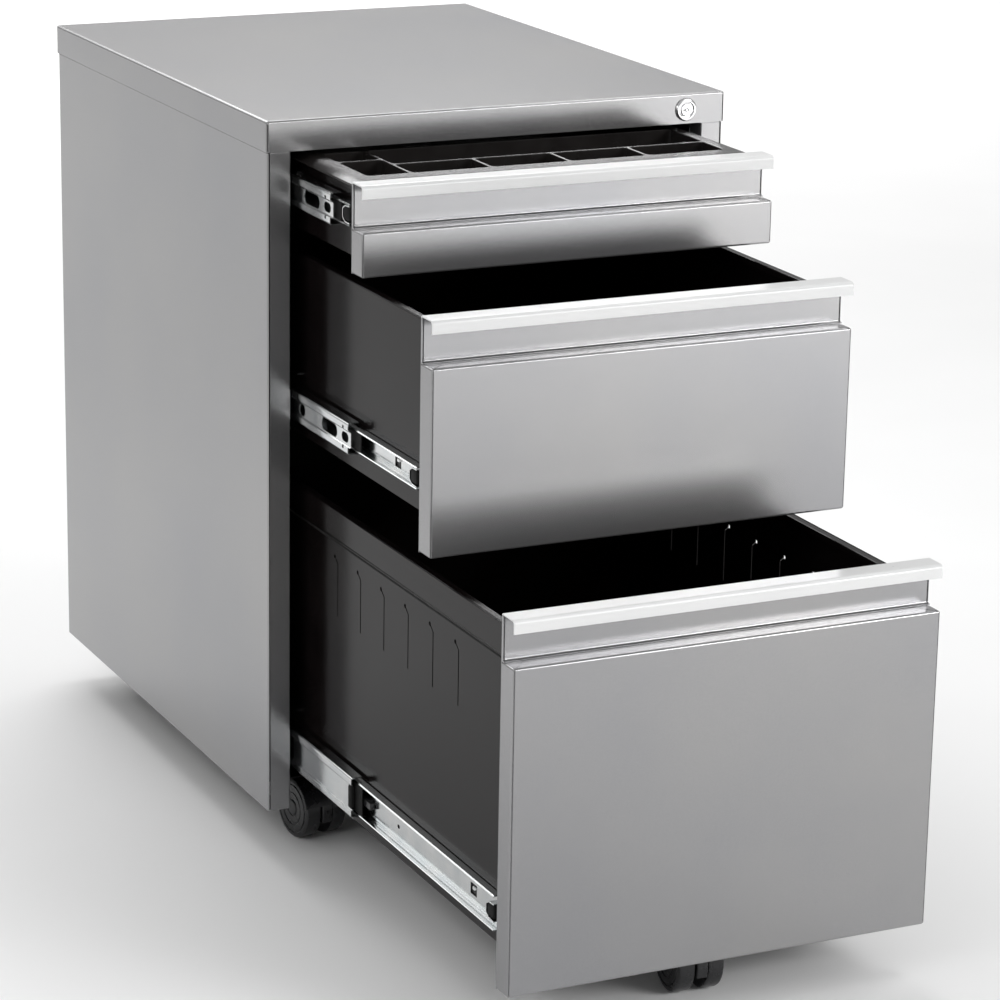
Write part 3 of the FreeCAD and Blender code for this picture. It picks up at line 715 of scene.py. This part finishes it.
def file_rail(low, high, outside):
    """The thicker strip along the top of a file drawer's wall, with a rolled lower hem."""
    hem = high.z - RAIL_HEIGHT
    strip = block((low.x + 0.6 * MM, low.y, hem + 0.9 * MM), (outside, high.y, high.z), 0.4 * MM, 2,
                  lambda m: m.x < outside - 0.5 * MM)
    bead = block((low.x, low.y, hem), (outside, high.y, hem + 1.8 * MM), 0.75 * MM, 5,
                 lambda m: m.x < outside - MM)
    return joined(strip, bead)


def make_rail_painted_shadows(low, high, outside):
    """A thin matte black strip under each file rail, a painted shadow that stands in for the shade beneath the
    hem.
    """
    hem = high.z - RAIL_HEIGHT
    # painted shadow: a dark matte strip put where there is only the shade under the rail's hem
    gap = block((outside - 0.25 * MM, low.y, hem - 2.4 * MM), (outside, high.y, hem), 0.1 * MM, 1)
    show("rail_painted_shadows", pair(gap), "drawer_3", "black_paint", (), 0, RUBBER)


def lock_catch(n, front):
    """The small tab on the right wall that the lock bar holds."""
    _, cover_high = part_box("top_cover")
    _, wall_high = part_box(f"drawer_{n}_right_wall")
    level = cover_high.z - CATCH_DEPTHS[n]
    return block((wall_high.x - 10 * MM, front + 8.5 * MM, level - 4 * MM),
                 (wall_high.x, front + 10.5 * MM, level + 4 * MM), 0.4 * MM, 2)


def make_walls(n):
    """The drawer's two side walls, flanged at the top, and the lock bar's catch on the right one."""
    low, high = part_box(f"drawer_{n}_left_wall")
    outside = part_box("drawer_1_left_wall")[0].x
    flange = outside + 7 * MM
    section = [(outside, low.z), (outside, high.z), (flange, high.z), (flange, high.z - 5 * MM)]
    slit_margin = 92.5 * MM
    slit_rows = {"left": (low.y + slit_margin, 1), "right": (high.y - slit_margin, -1)}
    for side, (first, step) in slit_rows.items():
        wall = rolled("y", section, [1.3 * MM, 1.3 * MM], -SHEET, low.y, high.y, 4)
        if n == 3:
            slits = folder_cutters(high, outside, first, step)
            wall = joined(carved(wall, *slits), file_rail(low, high, outside))
        if side == "right":
            wall = joined(twin(wall), lock_catch(n, low.y))
        show(f"wall_{side}_{n}", wall, f"drawer_{n}", "black_paint", [f"drawer_{n}_{side}_wall"], 0.1)
    if n == 3:
        # the file drawer's painted shadow strips under its rails
        make_rail_painted_shadows(low, high, outside)


def make_tray():
    """The moulded pencil tray: a rim with sloping ends, and rounded pockets parted by thin walls."""
    low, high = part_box("pencil_tray")
    wall, rim, slope = 2.2 * MM, 1.6 * MM, 4.2 * MM
    tub_half, flat_half = 151.5 * MM, 158.5 * MM
    front, back = low.y + 18 * MM, high.y - 8 * MM
    section = [(low.x, high.z - slope - rim), (-flat_half, high.z - rim), (flat_half, high.z - rim),
               (high.x, high.z - slope - rim), (high.x, high.z - slope), (flat_half, high.z),
               (-flat_half, high.z), (low.x, high.z - slope)]
    plate = prism("y", section, low.y + 4 * MM, high.y)
    tub = block((-tub_half, front, low.z), (tub_half, back, high.z - rim / 2), 3 * MM, 4,
                lambda m: m.z < high.z - MM)
    left, right = -tub_half + wall, tub_half - wall
    near, far = front + wall, back - wall
    column, row, cross, rear = left + 34.3 * MM, near + 34 * MM, near + 54 * MM, near + 90 * MM
    small_pockets = 4
    cell = (right - column - wall) / small_pockets
    spans = [((left, near), (column, cross)), ((left, cross + wall), (column, rear)),
             ((column + wall, row + wall), (right, rear)), ((left, rear + wall), (right, far))]
    for i in range(small_pockets):
        start = column + wall + i * cell
        gap = 0 if i == small_pockets - 1 else wall
        spans.append(((start, near), (start + cell - gap, row)))
    pockets = [block((*a, low.z + wall), (*b, high.z + 12 * MM), 4.5 * MM, 5,
                     lambda m: m.z < high.z + 10 * MM) for a, b in spans]
    show("tray", carved(fused(plate, tub), *pockets), "drawer_1", "tray_plastic", ["pencil_tray"], 0.6)


for n in DRAWERS:
    make_handle(n)
    make_plate(n)
    make_pan(n)
    make_walls(n)
make_tray()


# ---------- lock ----------

def make_lock():
    """The lock's flanged barrel with an index notch, and its round core with the key's openings."""
    low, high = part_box("lock_housing")
    middle = (low + high) / 2
    centre = (middle.x, low.y, middle.z)
    barrel = in_mm((18, 5.06), (18, 8.0), (2.0, 8.0), (2.0, 9.2), (1.3, 9.2), (0.35, 8.6), (0.0, 8.0),
                   (0.0, 6.9), (0.5, 6.3), (0.6, 5.2), (0.75, 5.06))
    notch = block((middle.x - 0.7 * MM, low.y - MM, middle.z + 6.6 * MM),
                  (middle.x + 0.7 * MM, low.y + 3 * MM, middle.z + 8.8 * MM))
    ring = lathe("y", centre, barrel, 72, closed=True)
    show("lock_ring", carved(ring, notch), "cabinet", "lock_chrome", ["lock_housing"], 0.08)
    plug_low, plug_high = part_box("lock_plug")
    length = plug_high.y - plug_low.y
    rounded_end = [*in_mm((0.0, 0), (0.0, 4.5), (0.4, 5.0)), (length, 5.0 * MM), (length, 0)]
    plug = lathe("y", (middle.x, plug_low.y, middle.z), rounded_end, 56)
    start, end = -2, 8
    ring_gap = lathe("y", centre, in_mm((start, 1.0), (start, 1.9), (end, 1.9), (end, 1.0)), 28, closed=True)
    slot = block((middle.x - 3.6 * MM, low.y + start * MM, middle.z - 0.6 * MM),
                 (middle.x - 1.2 * MM, low.y + end * MM, middle.z + 0.6 * MM))
    dot = lathe("y", (middle.x + 3.4 * MM, low.y, middle.z),
                in_mm((start, 0), (start, 0.5), (end, 0.5), (end, 0)), 16)
    core = carved(plug, ring_gap, slot, dot)
    show("lock_core_face", core, "lock_core", "lock_chrome", ["lock_plug"], 0.06)


make_lock()


# ---------- casters ----------

AXLE = (0, -14 * MM, 25 * MM)  # the wheel axle's middle, with the swivel axis over the origin


def caster_frame(name):
    """The place of a caster's swivel axis on the floor, turned the way the caster points at rest."""
    along = Vector(JOINTS[f"roll_{name}"]["axis"])
    x, y, _ = JOINTS[f"swivel_{name}"]["pos_m"]
    turn = math.atan2(along.y, along.x)
    return Matrix.Translation((x, y, 0)) @ Matrix.Rotation(turn, 4, "Z")


def wheel_disc(side):
    """One moulded wheel: soft tread, a dished outer face with two ring grooves and a hub cap."""
    profile = [(5.0, 0), (5.0, 23.2), (5.6, 24.4), (7.0, 25.0), (15.8, 25.0), (17.3, 24.3), (18.1, 22.6),
               (18.3, 21.0), (17.5, 20.6), (17.5, 19.6), (18.4, 19.2), (18.5, 14.4), (17.7, 14.0),
               (17.7, 13.0), (18.3, 12.6), (18.0, 7.4), (17.2, 7.0), (17.2, 6.4), (18.3, 5.8), (18.5, 4.0),
               (18.5, 0)]
    return lathe("x", AXLE, in_mm(*[(side * x, radius) for x, radius in profile]), 56)


def hood():
    """The fender over both wheels, domed across, with a web between the wheels and a neck."""
    _, axle_y, axle_z = AXLE
    across = in_mm((-19.5, 25.7), (-19.2, 26.1), (-17.5, 26.4), (0.0, 26.5), (17.5, 26.4), (19.2, 26.1),
                   (19.5, 25.7), (17.5, 25.65), (0.0, 25.62), (-17.5, 25.65))
    start, end = math.radians(14), math.radians(166)
    steps = 34
    bm = bmesh.new()
    rows = []
    for i in range(steps + 1):
        turn = start + (end - start) * i / steps
        rows.append([bm.verts.new((x, axle_y + radius * math.cos(turn), axle_z + radius * math.sin(turn)))
                     for x, radius in across])
    count = len(across)
    for first, second in zip(rows, rows[1:]):
        for i in range(count):
            j = (i + 1) % count
            bm.faces.new((first[i], first[j], second[j], second[i]))
    bm.faces.new(rows[0])
    bm.faces.new(list(reversed(rows[-1])))
    bmesh.ops.recalc_face_normals(bm, faces=bm.faces)
    disc = in_mm((-4.3, 0), (-4.3, 25.6), (-3.6, 26.3), (3.6, 26.3), (4.3, 25.6), (4.3, 0))
    below = block((-10 * MM, -60 * MM, -10 * MM), (10 * MM, 60 * MM, 17 * MM))
    web = carved(lathe("x", AXLE, disc, 56), below)
    neck = in_mm((30, 0), (30, 9), (55.6, 9), (56.4, 8.6), (57.7, 8.6), (57.7, 4.9), (62, 4.9), (62, 0))
    return joined(bm, web, lathe("z", (0, 0, 0), neck, 40))


def make_caster(name):
    """A caster's wheel pair and its hood, each on its own body."""
    at_rest = caster_frame(name)
    pin = lathe("x", AXLE, in_mm((-18.4, 0), (-18.4, 3), (18.4, 3), (18.4, 0)), 24)
    wheels = turned(joined(wheel_disc(-1), wheel_disc(1), pin), at_rest)
    show(f"caster_wheels_{name}", wheels, f"wheels_{name}", "black_plastic", [f"caster_{name}_wheels"], 0.12)
    show(f"caster_hood_{name}", turned(hood(), at_rest), f"swivel_{name}", "black_plastic",
         [f"caster_{name}_housing"], 0.15)


for name in ("front_left", "front_right", "rear_left", "rear_right", "fifth"):
    make_caster(name)


# ---------- parts that keep their drawn shape ----------

slots = {part["node"]: part["material_slot"] for part in frame["record"]["subparts"]}
for name, shown in frame["nodes"].items():
    if shown.hide_render:
        continue
    shown.data.materials.clear()
    shown.data.materials.append(FINISH[slots[name]])
    soften(shown, 0.25)


# ---------- room, light and camera ----------

def make_floor():
    """A wide sheet of white paper on the floor."""
    bm = bmesh.new()
    bmesh.ops.create_grid(bm, x_segments=1, y_segments=1, size=9.0)
    floor = held(bm, "floor")
    finish = Finish("floor_paper", Roughness=0.85)
    finish.set("Base Color", finish.tinted(finish.noise(3.0, 2.0), (0.86, 0.86, 0.86), (0.88, 0.88, 0.88)))
    floor.data.materials.append(finish.material)


def make_light(name, place, target, size, power):
    """A soft box of white light, aimed at the target and unseen by the camera. power is in watts."""
    lamp = bpy.data.lights.new(name, "AREA")
    lamp.shape = "RECTANGLE"
    lamp.size, lamp.size_y = size
    lamp.energy = power
    holder = bpy.data.objects.new(name, lamp)
    bpy.context.scene.collection.objects.link(holder)
    holder.location = place
    holder.rotation_euler = (Vector(target) - Vector(place)).to_track_quat("-Z", "Y").to_euler()
    holder.visible_camera = False


def make_world(strength):
    """Even white light from all around."""
    world = bpy.data.worlds.new("studio")
    world.use_nodes = True
    background = world.node_tree.nodes["Background"]
    background.inputs["Color"].default_value = (1.0, 1.0, 1.0, 1.0)
    background.inputs["Strength"].default_value = strength
    bpy.context.scene.world = world


def make_camera():
    """A long lens in front of the cabinet, to its left and a little above its top."""
    cover_low, cover_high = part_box("top_cover")
    lens = bpy.data.cameras.new("camera")
    lens.sensor_width = 36.0
    lens.lens = 131.058
    lens.clip_end = 50.0
    holder = bpy.data.objects.new("camera", lens)
    bpy.context.scene.collection.objects.link(holder)
    left, ahead, above = 1.19345, 2.50755, 0.49575
    holder.location = (-left, cover_low.y - ahead, cover_high.z + above)
    tilt, roll, heading = 73.69749, -0.95258, -25.24742
    holder.rotation_euler = [math.radians(angle) for angle in (tilt, roll, heading)]
    bpy.context.scene.camera = holder


bpy.context.scene.view_settings.view_transform = "Standard"
make_world(strength=0.46)
make_floor()
make_light("far_behind", (1.0, 4.5, 3.0), (1.0, 4.5, 0.0), (4.0, 3.5), 150)
make_light("above_back", (0.1, 1.0, 1.45), (0.0, 0.1, 0.55), (1.5, 0.5), 9)
make_light("far_front", (2.6, -3.8, 1.8), (2.6, -3.8, 0.0), (2.0, 2.0), 190)
make_light("near_front", (1.15, -2.3, 1.3), (1.15, -2.3, 0.0), (1.2, 1.2), 11)
make_light("front_box", (1.35, -3.2, 1.85), (0.0, -0.2, 0.5), (1.0, 0.9), 4)
make_light("overhead", (0.95, -0.35, 2.1), (0.95, -0.35, 0.0), (0.5, 0.5), 4)
make_light("left_floor", (-1.2, -0.6, 1.0), (-1.2, -0.6, 0.0), (0.8, 1.2), 7)
make_light("back_left", (-1.02, 2.6, 1.75), (-0.18, -0.1, 0.45), (1.1, 1.1), 5)
make_camera()
